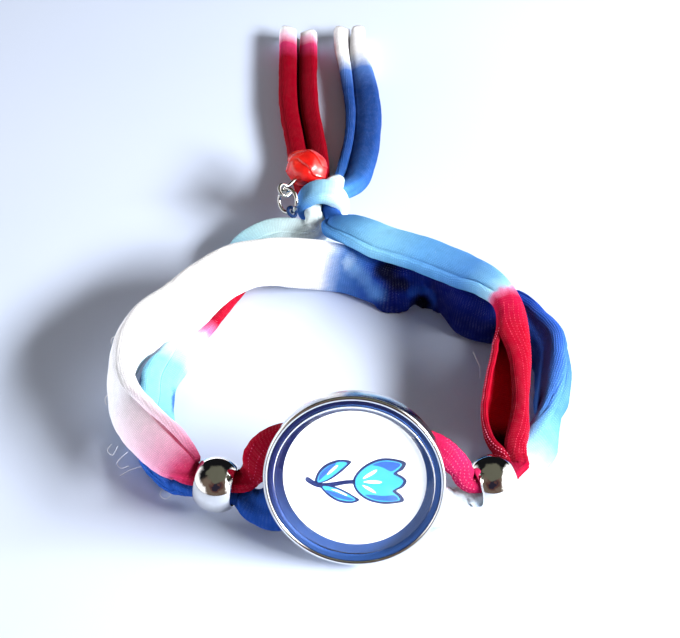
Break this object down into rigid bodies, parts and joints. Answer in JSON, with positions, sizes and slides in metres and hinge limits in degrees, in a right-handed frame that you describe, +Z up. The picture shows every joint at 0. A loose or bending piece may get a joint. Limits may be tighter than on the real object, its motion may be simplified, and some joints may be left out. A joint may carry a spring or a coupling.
{
  "type": "fabric wristband",
  "caption": "Wristband of stretch ribbon wound round the wrist, with a round glass slider medallion, large-hole metal beads, a back knot with loose tails and a small rose bead charm.",
  "frame": {"origin": "middle of the footprint, on the surface that the wristband lies on", "axes": "+Z up from the surface, -Y towards the medallion at the front, +Y along the loose tails behind the knot"},
  "size_m": [0.0626, 0.1189, 0.0219],
  "materials": {
    "cast_alloy": "polished cast zinc alloy, slightly worn",
    "printed_card": "white print with a blue motif and ring",
    "clear_glass": "clear and smooth",
    "polished_bead": "mirror polished",
    "cloth_white_blue": "knitted stretch cloth, white, pink and royal blue",
    "cloth_pale_cyan": "knitted stretch cloth, pale cyan and blue",
    "cloth_blue_red": "knitted stretch cloth, light blue and red",
    "cloth_light_blue": "knitted stretch cloth, light blue",
    "cloth_red": "knitted stretch cloth, deep red with white tips",
    "cloth_blue": "knitted stretch cloth, blue with white tips",
    "charm_wire": "bright plated wire",
    "red_resin": "glossy resin"
  },
  "bodies": {
    "root": {"setting": "cast_alloy", "picture_disc": "printed_card", "cabochon": "clear_glass", "bead_left": "polished_bead", "bead_right": "polished_bead", "long_turn": "cloth_white_blue", "left_turn": "cloth_pale_cyan", "right_turn": "cloth_blue_red", "knot": "cloth_light_blue", "left_tail": "cloth_red", "right_tail": "cloth_blue", "jump_ring": "charm_wire", "eye_pin": "charm_wire", "rose_bead": "red_resin"}
  },
  "joints": []
}
